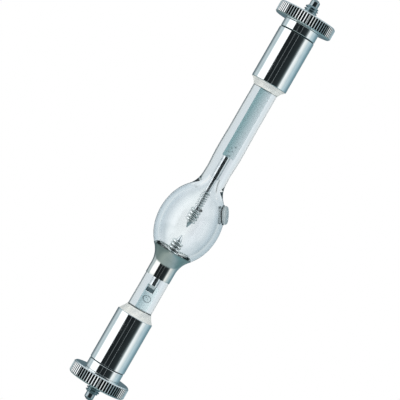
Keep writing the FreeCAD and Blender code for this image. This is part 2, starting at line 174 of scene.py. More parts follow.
class Recipe:
    """Makes and joins the nodes of one material, world or shape."""

    def __init__(self, tree: bpy.types.NodeTree) -> None:
        """Start on a tree, which may already hold nodes."""
        self.tree = tree

    def node(
        self,
        kind: str,
        settings: Mapping[str, Any] | None = None,
        values: Mapping[int | str, Any] | None = None,
    ) -> bpy.types.Node:
        """Add one node.

        Args:
            kind: the node's type.
            settings: its properties, and "stops" for a ramp's places and colours. They are set first.
            values: values or links for its input sockets, by name or place.

        Returns:
            The node.
        """
        made = self.tree.nodes.new(kind)
        for name, setting in (settings or {}).items():
            if name == "stops":
                ramp = made.color_ramp
                while len(ramp.elements) < len(setting):
                    ramp.elements.new(1.0)
                for element, (place, colour) in zip(ramp.elements, setting):
                    element.position = place
                    element.color = (*colour, 1.0)
            else:
                setattr(made, name, setting)
        for name, value in (values or {}).items():
            self.feed(made.inputs[name], value)
        return made

    def feed(self, socket: Socket, value: Any) -> None:
        """Give an input socket a link or a plain value.

        Args:
            socket: the socket.
            value: a number, a tuple, a socket or a signal.
        """
        if isinstance(value, Signal):
            value = value.socket
        if isinstance(value, Socket):
            self.tree.links.new(value, socket)
        elif isinstance(value, tuple) and len(value) == 3 and socket.type == "RGBA":
            socket.default_value = (*value, 1.0)
        else:
            socket.default_value = value

    def out(self, kind: str, values: Mapping[int | str, Any] | None = None, output: int | str = 0) -> Socket:
        """Add one node that needs no settings, and take one of its outputs, by name or place."""
        return self.node(kind, values=values).outputs[output]

    def own(self, kind: str) -> bpy.types.Node:
        """The node of a kind that the tree came with."""
        return next(node for node in self.tree.nodes if node.type == kind)

    def math(self, operation: str, *operands: Signal | float) -> Signal:
        """The result of a Math node."""
        made = self.node("ShaderNodeMath", {"operation": operation}, dict(enumerate(operands)))
        return Signal(self, made.outputs[0])

    def length(self, across: Signal, along: Signal) -> Signal:
        """How long the vector of two numbers is."""
        return self.math("SQRT", across ** 2.0 + along ** 2.0)

    def mix(self, share: Signal | float, first: Any, second: Any) -> Socket:
        """A blend of two colours or colour sockets, where the share is how much there is of the second."""
        return self.node("ShaderNodeMix", {"data_type": "RGBA"}, {0: share, 6: first, 7: second}).outputs[2]

    def parts(self, vector: Socket) -> tuple[Signal, Signal, Signal]:
        """The three numbers of a vector."""
        split = self.node("ShaderNodeSeparateXYZ", values={0: vector})
        return tuple(Signal(self, output) for output in split.outputs)

    def vector(self, x: Signal | float, y: Signal | float, z: Signal | float) -> Socket:
        """A vector made of three numbers."""
        return self.out("ShaderNodeCombineXYZ", {0: x, 1: y, 2: z})

    def grain(self, place: Socket, scale: float, detail: float = 2.0) -> Signal:
        """Smooth noise about 0.5, with its scale in lumps per metre and its detail in finer layers."""
        return Signal(self, self.out("ShaderNodeTexNoise", {"Vector": place, "Scale": scale, "Detail": detail}))


# ---- Finishes ----


FADE = 0.1  # over how many millimetres one finish gives way to another on a piece
VEIL_ROUGHNESS = 0.3


class Skin(Recipe):
    """A recipe for a material, which knows the point on the piece, in metres."""

    def __init__(self, tree: bpy.types.NodeTree) -> None:
        """Start on a material's tree.

        Args:
            tree: the tree, which holds a surface shader and an output.
        """
        super().__init__(tree)
        self.place = self.out("ShaderNodeTexCoord", output="Object")
        self.x, self.y, self.z = self.parts(self.place)
        self.radius = self.length(self.x, self.y)

    def noise(self, scale: float, detail: float = 2.0, stretch: Sequence[float] = (1.0, 1.0, 1.0)) -> Signal:
        """Grain over the piece, with its point multiplied by the stretch, so that a small one draws lumps out."""
        scaled = self.node("ShaderNodeVectorMath", {"operation": "MULTIPLY"}, {0: self.place, 1: stretch})
        return self.grain(scaled.outputs[0], scale, detail)

    def relief(self, height: Signal, depth: float) -> Socket:
        """A normal bumped by a height from 0 to 1 that stands for a depth in millimetres."""
        return self.out("ShaderNodeBump", {"Strength": 1.0, "Distance": depth * MM, "Height": height}, "Normal")


@dataclass(frozen=True)
class Finish:
    """What every finish has: a name, a record slot and a way to turn itself into a material."""

    name: str
    slot: str

    def material(self) -> bpy.types.Material:
        """The finish as a material, made once.

        Returns:
            The material.
        """
        made = bpy.data.materials.get(self.name)
        if made is None:
            made = bpy.data.materials.new(self.name)
            made.use_nodes = True
            skin = Skin(made.node_tree)
            shader = skin.own("BSDF_PRINCIPLED")
            for name, value in self.surface(skin).items():
                skin.feed(shader.inputs[name], value)
            veil = self.veil(skin)
            if veil is not None:
                share, colour = veil
                matt = skin.out("ShaderNodeBsdfPrincipled", {"Base Color": colour, "Roughness": VEIL_ROUGHNESS})
                both = skin.out("ShaderNodeMixShader", {0: share, 1: shader.outputs[0], 2: matt})
                skin.feed(skin.own("OUTPUT_MATERIAL").inputs["Surface"], both)
        return made

    def surface(self, skin: Skin) -> dict[str, Any]:
        """What the finish puts on the surface shader's sockets, as values or links by socket name."""
        raise NotImplementedError

    def veil(self, skin: Skin) -> tuple[Signal, Colour] | None:
        """A matt layer, where the finish has one: how much of the surface it hides, and its colour."""
        return None


@dataclass(frozen=True)
class TurnedMetal(Finish):
    """Metal with fine turning marks round the lamp's axis, cloudy plating, a few wiped smears and painted shade at
    its seams.
    """

    bright: Colour
    dull: Colour
    roughness: float
    smear: float
    turning: float  # depth of the turning marks, in millimetres
    pitch: float = 0.09  # between turning marks
    seams: tuple[float, ...] = ()  # heights of joints where a dark line of painted shade is laid
    # the near-black of the painted shade laid at the seams
    painted_shade: Colour = (0.03, 0.04, 0.045)

    def surface(self, skin: Skin) -> dict[str, Any]:
        """Mirror-like metal whose colour, gloss and relief vary a little.

        Args:
            skin: the material's recipe.

        Returns:
            Values or links by socket name.
        """
        rings = skin.noise(1 / (self.pitch * MM), 3.0, stretch=(0.02, 0.02, 1.0))
        specks = skin.noise(5200.0)
        wiped = skin.noise(900.0, 4.0, stretch=(1.0, 1.0, 0.25))
        worn = skin.noise(330.0, 3.0).rise(0.42, 0.72) * 0.6 + specks.rise(0.6, 0.8) * 0.4
        tone = skin.mix(worn, self.bright, self.dull)
        for seam in self.seams:
            # painted shade: a dark line along each seam, where the gap between plug and sleeve would lie in shade
            tone = skin.mix(1.0 - abs(skin.z - seam * MM).rise_mm(0.06, 0.2), tone, self.painted_shade)
        return {
            "Base Color": tone,
            "Metallic": 1.0,
            "Roughness": wiped.rise(0.35, 0.8) * self.smear + self.roughness,
            "Normal": skin.relief(rings * 0.7 + specks * 0.3, self.turning),
        }


@dataclass(frozen=True)
class PlugMetal(TurnedMetal):
    """Turned metal whose studs, beyond the two outer nut faces, are duller from handling."""

    handled: Colour = (0.3, 0.35, 0.37)
    reach: float = 57.4  # how far from the middle the handled ends start

    def surface(self, skin: Skin) -> dict[str, Any]:
        """The turned metal with its handled ends.

        Args:
            skin: the material's recipe.

        Returns:
            Values or links by socket name.
        """
        values = super().surface(skin)
        end = abs(skin.z - MIDDLE * MM).rise_mm(self.reach, self.reach + FADE)
        values["Base Color"] = skin.mix(end, values["Base Color"], self.handled)
        values["Roughness"] = values["Roughness"] + end * 0.1
        return values


@dataclass(frozen=True)
class KnurledMetal(TurnedMetal):
    """Turned metal with painted shade in the grooves of a knurl on its outer wall."""

    # the near-black of the painted shade in the knurl's grooves
    painted_shade: Colour = (0.012, 0.016, 0.018)
    groove: tuple[float, float] = (8.255, 8.315)  # the radii between which the painted shade in the grooves thins out
    wall: tuple[float, float] = (54.35, 57.15)  # where the knurled wall lies, from the middle

    def surface(self, skin: Skin) -> dict[str, Any]:
        """The turned metal with painted shade in its grooves.

        Args:
            skin: the material's recipe.

        Returns:
            Values or links by socket name.
        """
        values = super().surface(skin)
        away = abs(skin.z - MIDDLE * MM)
        near, far = self.wall
        walled = away.rise_mm(near - FADE, near) * (1.0 - away.rise_mm(far, far + FADE))
        groove_shade = walled * (1.0 - skin.radius.rise_mm(*self.groove))
        # painted shade: the knurl's grooves darkened towards their roots
        values["Base Color"] = skin.mix(groove_shade, values["Base Color"], self.painted_shade)
        return values


@dataclass(frozen=True)
class DrawnWire(Finish):
    """Tungsten wire or rod: drawn smooth, oxidised a little in the dips."""

    bright: Colour
    dull: Colour
    roughness: float
    lining: float  # depth of the drawing lines, in millimetres

    def surface(self, skin: Skin) -> dict[str, Any]:
        """Metal with drawing lines along the lamp's axis.

        Args:
            skin: the material's recipe.

        Returns:
            Values or links by socket name.
        """
        lines = skin.noise(6000.0, stretch=(1.0, 1.0, 0.08))
        return {
            "Base Color": skin.mix(skin.noise(900.0, 3.0).rise(0.45, 0.7), self.bright, self.dull),
            "Metallic": 1.0,
            "Roughness": lines * 0.12 + self.roughness,
            "Normal": skin.relief(lines, self.lining),
        }


@dataclass(frozen=True)
class SealedFoil(Finish):
    """Etched foil sealed in quartz, with painted shade across it, a ring-shaped weld mark and small weld spots near
    its inner end.
    """

    bright: Colour
    dull: Colour
    ring: tuple[float, float, float]  # across, height and radius of the weld ring, in millimetres
    spots: tuple[tuple[float, float, float], ...]  # across, height and radius of each spot
    shade_edges: tuple[float, float] = (-1.05, 1.8)  # the foil's left and right edges across the lamp, between which painted shade gives way to light
    weld: Colour = (0.05, 0.07, 0.08)

    def surface(self, skin: Skin) -> dict[str, Any]:
        """Foil with painted shade that darkens it towards one edge, crinkled finely and marked by its welds.

        Args:
            skin: the material's recipe.

        Returns:
            Values or links by socket name.
        """
        across, height, radius = (value * MM for value in self.ring)
        away = skin.length(skin.x - across, skin.z - height)
        mark = 1.0 - abs(away - radius * 0.86).rise(0.0, radius * 0.2)
        for spot in self.spots:
            across, height, radius = (value * MM for value in spot)
            away = skin.length(skin.x - across, skin.z - height)
            mark = skin.math("MAXIMUM", mark, 1.0 - away.rise(0.0, radius))
        crinkle = skin.noise(1500.0, 3.0, stretch=(1.0, 0.0, 0.3))
        etched = skin.noise(9000.0)
        # painted shade: the dull colour on the left side and the bright colour on the right stand for shade and
        # light across the foil
        tone = skin.mix(skin.x.rise_mm(*self.shade_edges), self.dull, self.bright)
        return {
            "Base Color": skin.mix(mark * 0.75, tone, self.weld),
            "Metallic": 1.0,
            "Roughness": etched * 0.06 + 0.13,
            "Normal": skin.relief(crinkle + etched * 0.05 - mark * 0.8, 0.004),
        }


@dataclass(frozen=True)
class WeldTab(Finish):
    """A flat tab that is dark where it was heated and lighter towards the rod."""

    cool: Colour
    burnt: Colour
    low: float
    high: float
    bare: Colour = seen(0.85, 0.88, 0.89)

    def surface(self, skin: Skin) -> dict[str, Any]:
        """Smooth metal in two tones with bright ends.

        Args:
            skin: the material's recipe.

        Returns:
            Values or links by socket name.
        """
        share = (skin.z - self.low * MM) / ((self.high - self.low) * MM)
        tone = skin.mix(share.rise(0.56, 0.66), self.burnt, self.cool)
        ends = (1.0 - share.rise(0.0, 0.1)) + share.rise(0.92, 1.0)
        return {
            "Base Color": skin.mix(ends, tone, self.bare),
            "Metallic": 1.0,
            "Roughness": skin.noise(2500.0) * 0.1 + 0.2,
        }


@dataclass(frozen=True)
class ClearQuartz(Finish):
    """Fused quartz with faint drawing lines along the tube, with painted shade of blue-green where the bulb is seen
    edge on.
    """

    tint: Colour
    painted_rim_shade: Colour
    lining: float  # depth of the drawing lines, in millimetres
    index: float = 1.458
    bulge: tuple[float, float] = (4.6, 6.6)  # the radii between which the shafts give way to the bulb
    pip: tuple[float, float] = (5.9, 6.2)  # the radii between which the melted-off pip starts
    milky: Colour = (0.62, 0.71, 0.73)  # the pip's skin
    milk: float = 0.66

    def surface(self, skin: Skin) -> dict[str, Any]:
        """Clear glass.

        Args:
            skin: the material's recipe.

        Returns:
            Values or links by socket name.
        """
        facing = Signal(skin, skin.out("ShaderNodeLayerWeight", output="Facing"))
        # painted shade: the bulb's outline darkened to blue-green where it is seen edge on
        rim_shade = facing.rise(0.16, 0.62) * skin.radius.rise_mm(*self.bulge)
        return {
            "Base Color": skin.mix(rim_shade, self.tint, self.painted_rim_shade),
            "Roughness": 0.0,
            "IOR": self.index,
            "Transmission Weight": 1.0,
            "Normal": skin.relief(skin.noise(700.0, stretch=(1.0, 1.0, 0.04)), self.lining),
        }

    def veil(self, skin: Skin) -> tuple[Signal, Colour] | None:
        """The cloudy skin of the pip, which stands proud of the bulb's oval.

        Args:
            skin: the material's recipe.

        Returns:
            The share that is hidden, and the colour that hides it.
        """
        level = (skin.z - BULB_MIDDLE * MM) / (BULB_HALF_HEIGHT * MM)
        proud = (skin.radius / (BULB_RADIUS * MM)) ** 2.0 + level ** 2.0
        return proud.rise(1.03, 1.09) * skin.radius.rise_mm(*self.pip) * self.milk, self.milky


@dataclass(frozen=True)
class ReflectingFilm(Finish):
    """Metal film fired onto the quartz, cloudy and burnt a little at its edges."""

    bright: Colour
    dull: Colour
    shadow: Colour = (0.2, 0.23, 0.22)
    burnt: Colour = (0.25, 0.3, 0.29)

    def surface(self, skin: Skin) -> dict[str, Any]:
        """Mirror film with cloudy strokes.

        Args:
            skin: the material's recipe.

        Returns:
            Values or links by socket name.
        """
        clouds = skin.noise(420.0, 4.0)
        strokes = skin.noise(2400.0, 3.0, stretch=(0.3, 0.3, 1.0))
        low_edge = 1.0 - skin.z.rise_mm(FILM_LOW, FILM_LOW + 0.5)
        high_edge = skin.z.rise_mm(FILM_HIGH - 0.3, FILM_HIGH - 0.05) * 2.2
        tone = skin.mix(clouds.rise(0.4, 0.7), self.bright, self.dull)
        tone = skin.mix((-skin.x).rise_mm(2.0, 3.2) * 0.5, tone, self.shadow)
        return {
            "Base Color": skin.mix((low_edge + high_edge) * 0.35, tone, self.burnt),
            "Metallic": 1.0,
            "Roughness": clouds * 0.08 + strokes * 0.06 + 0.02,
            "Normal": skin.relief(strokes, 0.002),
        }


@dataclass(frozen=True)
class BaseCement(Finish):
    """Baked base cement: cream, gritty and slightly stained."""

    pale: Colour
    warm: Colour
    pore: Colour = (0.5, 0.45, 0.38)

    def surface(self, skin: Skin) -> dict[str, Any]:
        """Matt ceramic with pores.

        Args:
            skin: the material's recipe.

        Returns:
            Values or links by socket name.
        """
        grit = skin.noise(4200.0, 3.0)
        pores = skin.noise(1500.0, 1.0).rise(0.68, 0.78)
        tone = skin.mix(skin.noise(420.0, 1.0).rise(0.4, 0.7), self.pale, self.warm)
        return {
            "Base Color": skin.mix(pores * 0.05, tone, self.pore),
            "Roughness": grit * 0.2 + 0.65,
            "Normal": skin.relief(grit - pores * 0.7, 0.001),
        }


@dataclass(frozen=True)
class LiquidMercury(Finish):
    """Mercury: a mirror with the faintest skin on it."""

    tone: Colour
    dross: Colour = (0.5, 0.51, 0.54)

    def surface(self, skin: Skin) -> dict[str, Any]:
        """Mirror metal.

        Args:
            skin: the material's recipe.

        Returns:
            Values or links by socket name.
        """
        film = skin.noise(1400.0, 3.0)
        return {
            "Base Color": skin.mix(film.rise(0.55, 0.8) * 0.5, self.tone, self.dross),
            "Metallic": 1.0,
            "Roughness": film * 0.05 + 0.01,
        }


NICKEL_TONES = seen(0.90, 0.91, 0.91), seen(0.82, 0.84, 0.85)
BRIGHT_NICKEL = TurnedMetal(
    "bright_nickel_plate", "bright_nickel", *NICKEL_TONES, roughness=0.035, smear=0.14, turning=0.0014, seams=SEAMS)
PLUG_NICKEL = PlugMetal(
    "plug_nickel_plate", "bright_nickel", *NICKEL_TONES, roughness=0.04, smear=0.12, turning=0.0014, seams=SEAMS)
KNURLED_NICKEL = KnurledMetal(
    "knurled_nickel_plate", "nickel_knurl", seen(0.92, 0.93, 0.93), seen(0.82, 0.85, 0.86),
    roughness=0.06, smear=0.08, turning=0.001)
THREADED_NICKEL = TurnedMetal(
    "threaded_nickel", "bright_nickel", seen(0.60, 0.67, 0.69), seen(0.36, 0.45, 0.47),
    roughness=0.16, smear=0.12, turning=0.002)
TUNGSTEN_ROD = DrawnWire(
    "tungsten_rod", "tungsten", seen(0.86, 0.88, 0.89), seen(0.74, 0.77, 0.79), roughness=0.1, lining=0.0006)
TUNGSTEN_WIRE = DrawnWire(
    "drawn_tungsten_wire", "tungsten_wire", seen(0.95, 0.96, 0.96), seen(0.84, 0.87, 0.87),
    roughness=0.16, lining=0.0005)
LEAD_ROD = DrawnWire(
    "molybdenum_lead", "molybdenum_rod", seen(0.80, 0.80, 0.80), seen(0.68, 0.70, 0.71),
    roughness=0.2, lining=0.003)
TAB_METAL = WeldTab(
    "weld_tab_plate", "weld_tab_metal", seen(0.58, 0.63, 0.64), seen(0.27, 0.33, 0.35), low=28.9, high=31.0)
CLEAR_QUARTZ = ClearQuartz(
    "clear_fused_quartz", "clear_quartz", tint=(0.985, 0.988, 0.99), painted_rim_shade=(0.66, 0.74, 0.78), lining=0.0012)
HEAT_FILM = ReflectingFilm("fired_heat_film", "reflecting_film", seen(0.87, 0.865, 0.85), seen(0.80, 0.805, 0.79))
BASE_CEMENT = BaseCement("cream_base_cement", "cement", seen(0.95, 0.955, 0.935), seen(0.86, 0.875, 0.865))
MERCURY = LiquidMercury("liquid_mercury", "mercury", seen(0.90, 0.905, 0.915))
# Each foil's two colours are the shaded and the lit side of a painted shade that runs from one edge to the other
LOWER_FOIL = SealedFoil(
    "lower_foil_metal", "molybdenum_foil", seen(0.72, 0.77, 0.78), seen(0.55, 0.63, 0.65),
    ring=(0.35, 27.1, 1.0), spots=((0.1, 27.4, 0.25), (0.6, 27.0, 0.22)))
UPPER_FOIL = SealedFoil(
    "upper_foil_metal", "molybdenum_foil", seen(0.63, 0.675, 0.69), seen(0.44, 0.55, 0.565),
    ring=(0.2, 73.0, 0.01),
    spots=(
        (-0.1, 71.2, 0.42), (0.3, 71.5, 0.4), (-0.2, 72.5, 0.3),
        (0.45, 72.9, 0.3), (0.0, 73.7, 0.26), (0.7, 74.3, 0.34),
    ))


# ---- Meshes ----


ON_AXIS = 1e-6  # a radius up to which a corner is taken to lie on the axis

def arc(centre: Corner, radius: float, start: float, end: float, steps: int) -> list[Corner]:
    """Points along a circular arc from one angle to another, in degrees, one more than there are steps."""
    angles = [math.radians(start + (end - start) * step / steps) for step in range(steps + 1)]
    return [(centre[0] + radius * math.cos(angle), centre[1] + radius * math.sin(angle)) for angle in angles]


def turned_mesh(name: str, outline: Sequence[Corner], segments: int = 96) -> bpy.types.Mesh:
    """Turn a closed outline about the lamp's axis.

    Args:
        name: the mesh's name.
        outline: corners as (radius, height), with the solid on the left as it is followed.
        segments: how many flats the turning has.

    Returns:
        A closed mesh in metres whose faces point outwards.
    """
    shell = bmesh.new()
    turns = [2 * math.pi * step / segments for step in range(segments)]
    rings: list[list[bmesh.types.BMVert]] = []
    for radius, height in outline:
        around = turns if radius > ON_AXIS else [0.0]
        points = ((radius * MM * math.cos(turn), radius * MM * math.sin(turn), height * MM) for turn in around)
        rings.append([shell.verts.new(point) for point in points])
    for ring, following in zip(rings, rings[1:] + rings[:1]):
        if len(ring) == len(following) == 1:
            continue
        for step in range(segments):
            places = ((ring, step), (ring, step + 1), (following, step + 1), (following, step))
            corners = dict.fromkeys(row[place % len(row)] for row, place in places)
            shell.faces.new(tuple(corners))
    bmesh.ops.recalc_face_normals(shell, faces=shell.faces)
    mesh = bpy.data.meshes.new(name)
    shell.to_mesh(mesh)
    shell.free()
    return mesh


def linked(name: str, data: Any) -> Piece:
    """A new object, put in the scene.

    Args:
        name: the object's name.
        data: its mesh, camera or light.

    Returns:
        The object.
    """
    piece = bpy.data.objects.new(name, data)
    bpy.context.scene.collection.objects.link(piece)
    return piece


def result_of(piece: Piece) -> bpy.types.Mesh:
    """The mesh that a piece's modifiers make, with the piece itself taken away.

    Args:
        piece: the piece.

    Returns:
        The mesh.
    """
    mesh = bpy.data.meshes.new_from_object(piece.evaluated_get(bpy.context.evaluated_depsgraph_get()))
    bpy.data.objects.remove(piece)
    return mesh


def placed(name: str, mesh: bpy.types.Mesh, finish: Finish, sharp: float = 32.0) -> Piece:
    """Make a piece of a mesh.

    Args:
        name: the piece's name.
        mesh: its mesh, already in place.
        finish: what it is finished with.
        sharp: the angle between faces past which an edge stays sharp, in degrees.

    Returns:
        The piece, smooth shaded.
    """
    mesh.materials.clear()
    mesh.materials.append(finish.material())
    mesh.shade_smooth()
    mesh.set_sharp_from_angle(angle=math.radians(sharp))
    piece = linked(name, mesh)
    return piece


def grown(
    name: str,
    tree: bpy.types.NodeTree,
    sizes: Mapping[str, Any],
    finish: Finish,
    sharp: float = 50.0,
    blank: bpy.types.Mesh | None = None,
) -> Piece:
    """Run a shape tree and keep its result as a plain mesh.

    Args:
        name: the piece's name.
        tree: the shape tree.
        sizes: values for its inputs, by name.
        finish: what the piece is finished with.
        sharp: the angle between faces past which an edge stays sharp, in degrees.
        blank: the mesh that the tree works on, where it has one.

    Returns:
        The piece.
    """
    piece = linked(name, blank or bpy.data.meshes.new(name))
    modifier = piece.modifiers.new("shape", "NODES")
    modifier.node_group = tree
    for item in tree.interface.items_tree:
        if item.item_type == "SOCKET" and item.in_out == "INPUT" and item.name in sizes:
            modifier[item.identifier] = sizes[item.name]
    return placed(name, result_of(piece), finish, sharp)


class ShapeRecipe(Recipe):
    """A recipe for a shape tree with named inputs and one geometry output."""

    def __init__(self, name: str, inputs: Iterable[str]) -> None:
        """Start a tree.

        Args:
            name: the tree's name.
            inputs: the names of its numbers.
        """
        super().__init__(bpy.data.node_groups.new(name, "GeometryNodeTree"))
        for way in ("INPUT", "OUTPUT"):
            self.tree.interface.new_socket("Geometry", in_out=way, socket_type="NodeSocketGeometry")
        for label in inputs:
            self.tree.interface.new_socket(label, in_out="INPUT", socket_type="NodeSocketFloat")
        self.source = self.node("NodeGroupInput")

    def size(self, label: str) -> Signal:
        """One of the tree's inputs."""
        return Signal(self, self.source.outputs[label])

    def done(self, shape: Socket, finish: Finish) -> bpy.types.NodeTree:
        """Realize, smooth and finish the shape, and end the tree with it.

        Args:
            shape: the shape's socket.
            finish: what it is finished with.

        Returns:
            The finished tree.
        """
        whole = self.out("GeometryNodeRealizeInstances", {0: shape})
        shaded = self.out("GeometryNodeSetShadeSmooth", {"Geometry": whole, "Shade Smooth": True})
        dressed = self.out("GeometryNodeSetMaterial", {"Geometry": shaded, "Material": finish.material()})
        self.node("NodeGroupOutput", values={0: dressed})
        return self.tree


# ---- The lamp ----


GLASS_SEGMENTS, METAL_SEGMENTS, PIP_SEGMENTS = 160, 128, 80
HALVINGS = 60  # of the range in which a fillet's foot is looked for
FILLET_STEPS, BELLY_STEPS, LOW_NECK_STEPS, HIGH_NECK_STEPS = 26, 84, 30, 40
PIP_FOOT_STEPS, PIP_RIM_STEPS, DOG_STEPS, CONE_STEPS = 8, 14, 6, 14
FLATS_TO_A_TOOTH = 8


@dataclass(frozen=True)
class Oval:
    """An ellipse turned about the lamp's axis, with a neck at each end that a fillet may fair in."""

    width: float
    half_height: float
    low_neck: float
    high_neck: float
    low_end: float
    high_end: float
    low_fillet: float
    high_fillet: float
    middle: float = BULB_MIDDLE
    swells: tuple[tuple[float, float, float], ...] = ()  # height, reach and size of each place drawn in or out

    def _fillet(self, neck: float, bend: float, skin: float) -> list[Corner]:
        """A neck's fillet as (radius, height above the middle), from the neck to the ellipse.

        Args:
            neck: the neck's radius.
            bend: the fillet's radius, or 0 for a plain corner.
            skin: how far outside the oval the outline runs.

        Returns:
            The fillet's points.
        """
        width, half, neck = self.width + skin, self.half_height + skin, neck + skin
        bend = bend - skin if bend else 0.0
        near, far = math.asin(neck / width), math.pi / 2
        for _ in range(HALVINGS):
            turn = (near + far) / 2
            out, up = width * math.sin(turn), half * math.cos(turn)
            tilt = math.hypot(out / width**2, up / half**2)
            if out + bend * out / width**2 / tilt < neck + bend:
                near = turn
            else:
                far = turn
        if not bend:
            return [(out, up)]
        slope = math.degrees(math.atan2(up / half**2, out / width**2))
        return arc((neck + bend, up + bend * up / half**2 / tilt), bend, 180.0, 180.0 + slope, FILLET_STEPS)

    def _worked(self, corner: Corner) -> Corner:
        """A corner moved by the swells of hand-worked glass.

        Args:
            corner: a radius and a height.

        Returns:
            The moved corner.
        """
        radius, height = corner
        moved = sum(size * math.exp(-(((height - place) / reach) ** 2)) for place, reach, size in self.swells)
        return radius + moved, height

    def profile(self, skin: float = 0.0) -> list[Corner]:
        """The outline from the lower end's axis to the upper end's.

        Args:
            skin: how far outside the oval the outline runs.

        Returns:
            Corners as (radius, height).
        """
        width, half = self.width + skin, self.half_height + skin
        low = [(out, self.middle - up) for out, up in self._fillet(self.low_neck, self.low_fillet, skin)]
        high = [(out, self.middle + up) for out, up in self._fillet(self.high_neck, self.high_fillet, skin)]
        first, last = (math.atan2(end[0] / width, (end[1] - self.middle) / half) for end in (low[-1], high[-1]))
        turns = [first + (last - first) * step / BELLY_STEPS for step in range(1, BELLY_STEPS)]
        belly = [(width * math.sin(turn), self.middle + half * math.cos(turn)) for turn in turns]
        low_neck = [
            (self.low_neck + skin, self.low_end + (low[0][1] - self.low_end) * step / LOW_NECK_STEPS)
            for step in range(LOW_NECK_STEPS)
        ]
        high_neck = [
            (self.high_neck + skin, high[0][1] + (self.high_end - high[0][1]) * step / HIGH_NECK_STEPS)
            for step in range(1, HIGH_NECK_STEPS + 1)
        ]
        sides = [self._worked(corner) for corner in (*low_neck, *low, *belly, *high[::-1], *high_neck)]
        return [(0.0, self.low_end), *sides, (0.0, self.high_end)]

    def radius_at(self, height: float) -> float:
        """The radius at a height.

        Args:
            height: the height.

        Returns:
            The radius, or the high neck's where the outline has no such height.
        """
        outline = self.profile()
        for (near, low), (far, high) in zip(outline, outline[1:]):
            if low < high and low <= height <= high:
                return near + (far - near) * (height - low) / (high - low)
        return self.high_neck


GLASS = Oval(
    BULB_RADIUS, BULB_HALF_HEIGHT, low_neck=SHAFT_RADIUS, high_neck=SHAFT_RADIUS,
    low_end=11.5, high_end=103.5, low_fillet=6.9, high_fillet=6.5,
    swells=((73.0, 4.2, 0.13), (66.9, 2.2, -0.13), (31.0, 8.0, -0.05), (85.0, 5.0, 0.03)),
)
CHAMBER = Oval(
    7.275, 10.2, low_neck=1.905, high_neck=1.3, low_end=38.9, high_end=64.2, low_fillet=0.0, high_fillet=7.0)


@dataclass
class Envelope:
    """The quartz envelope: bulb, shafts, chamber with its neck bores, and the melted-off exhaust pip."""

    glass: Oval = GLASS
    chamber: Oval = CHAMBER
    pip_radius: float = 2.53
    pip_proud: float = 0.89
    pip_root: float = 0.9  # how far the pip reaches into the bulb's wall
    pip_skirt: float = 0.2  # how much wider it is inside the wall
    pip_foot: float = 0.35  # the radius of the fillet round its foot
    pip_foot_centre: Corner = (0.3, 0.33)  # outside the pip and above the wall
    pip_foot_start: float = 250.0
    pip_rim: float = 0.5
    pip_rim_sweep: float = 88.0
    pip_dish: float = 0.1
    pip_dish_start: float = 0.2  # where the dish starts, as a share of the way from the rim to the middle
    pip_dish_rings: tuple[float, ...] = (0.25, 0.3, 0.36, 0.44, 0.54, 0.66, 0.8)  # shares of the same way
    pip_rise: float = 6.5  # above the bulb's middle
    pip_turn: float = 16.5  # degrees round the axis from +X

    def _pip(self) -> Piece:
        """The pip as a closed solid that reaches into the bulb's wall.

        Returns:
            The pip, in its place on the bulb.
        """
        proud, radius, rim, start = self.pip_proud, self.pip_radius, self.pip_rim, self.pip_dish_start
        foot_out, foot_up = self.pip_foot_centre
        dish = [
            (radius - share * radius,
             proud - self.pip_dish * math.sin(math.pi / 2 * (share - start) / (1 - start)) ** 2)
            for share in self.pip_dish_rings
        ]
        mesh = turned_mesh("pip", [
            (0.0, -self.pip_root),
            (radius + self.pip_skirt, -self.pip_root),
            *arc((radius + foot_out, foot_up), self.pip_foot, self.pip_foot_start, 180.0, PIP_FOOT_STEPS),
            *arc((radius - rim, proud - rim), rim, 0.0, self.pip_rim_sweep, PIP_RIM_STEPS),
            *dish,
            (0.0, proud - self.pip_dish),
        ], PIP_SEGMENTS)
        glass = self.glass
        out = glass.width * math.sqrt(1 - (self.pip_rise / glass.half_height) ** 2)
        normal = Vector((out / glass.width**2, 0, self.pip_rise / glass.half_height**2)).normalized()
        lean = normal.to_track_quat("Z", "Y").to_matrix().to_4x4()
        turn = Matrix.Rotation(math.radians(self.pip_turn), 4, "Z")
        mesh.transform(turn @ Matrix.Translation((out * MM, 0, (glass.middle + self.pip_rise) * MM)) @ lean)
        return linked("pip", mesh)

    def build(self) -> Piece:
        """Blow the envelope: its outside with the pip joined on, and the chamber's wall inside.

        Returns:
            The piece.
        """
        outside = linked("envelope", turned_mesh("envelope", self.glass.profile(), GLASS_SEGMENTS))
        pip = self._pip()
        join = outside.modifiers.new("pip", "BOOLEAN")
        join.operation, join.solver, join.object = "UNION", "EXACT", pip
        mesh = result_of(outside)
        bpy.data.objects.remove(pip)
        hollow = turned_mesh("chamber", self.chamber.profile(), METAL_SEGMENTS)
        hollow.flip_normals()
        shell = bmesh.new()
        shell.from_mesh(mesh)
        shell.from_mesh(hollow)
        shell.to_mesh(mesh)
        shell.free()
        piece = placed("blown_quartz_envelope", mesh, CLEAR_QUARTZ, sharp=40.0)
        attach(piece, "lamp")
        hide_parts("quartz_envelope")
        return piece


